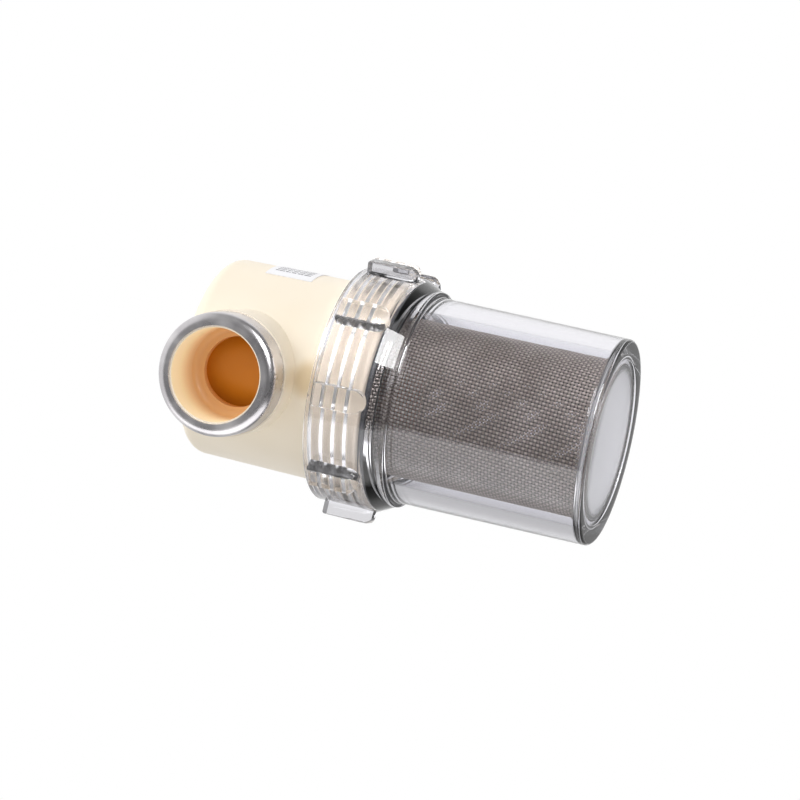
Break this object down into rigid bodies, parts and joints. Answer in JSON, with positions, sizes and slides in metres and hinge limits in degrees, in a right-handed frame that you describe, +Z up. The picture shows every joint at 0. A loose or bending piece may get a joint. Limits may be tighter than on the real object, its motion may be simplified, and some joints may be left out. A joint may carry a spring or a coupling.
{
  "type": "sea water strainer",
  "caption": "In-line sea water strainer: cream head with two coaxial pipe sockets in steel rings, and a clear screw-on bowl with grip lobes round a woven wire screen.",
  "frame": {"origin": "centre of the bowl's base, on the bowl's axis", "axes": "+Z up the bowl's axis towards the head; +Y along the ports' common axis, towards the outlet"},
  "size_m": [0.0964, 0.1146, 0.1534],
  "materials": {
    "head_plastic": "moulded cream plastic, semi-gloss",
    "ring_steel": "pressed stainless steel, polished",
    "clear_plastic": "clear moulded polycarbonate, gloss",
    "seal_rubber": "moulded nitrile rubber",
    "mesh_steel": "woven stainless wire",
    "label_paper": "white vinyl sticker with plain grey bars"
  },
  "bodies": {
    "head": {"head_body": "head_plastic", "inlet_ring": "ring_steel", "outlet_ring": "ring_steel", "label": "label_paper"},
    "screen": {"screen_mesh": "mesh_steel", "screen_band": "ring_steel"},
    "bowl": {"bowl": "clear_plastic", "bowl_seal": "seal_rubber"}
  },
  "joints": [
    {"name": "bowl_drop", "type": "slide", "parent": "head", "child": "screen", "axis": [0, 0, -1], "range_m": [0, 0.0221]},
    {"name": "bowl_turn", "type": "hinge", "parent": "screen", "child": "bowl", "pos_m": [0, 0, 0.09], "axis": [0, 0, -1], "range_deg": [0, 1800]}
  ],
  "couplings": [
    {"joint": "bowl_drop", "follows": "bowl_turn", "m_per_rad": 0.00070028}
  ]
}
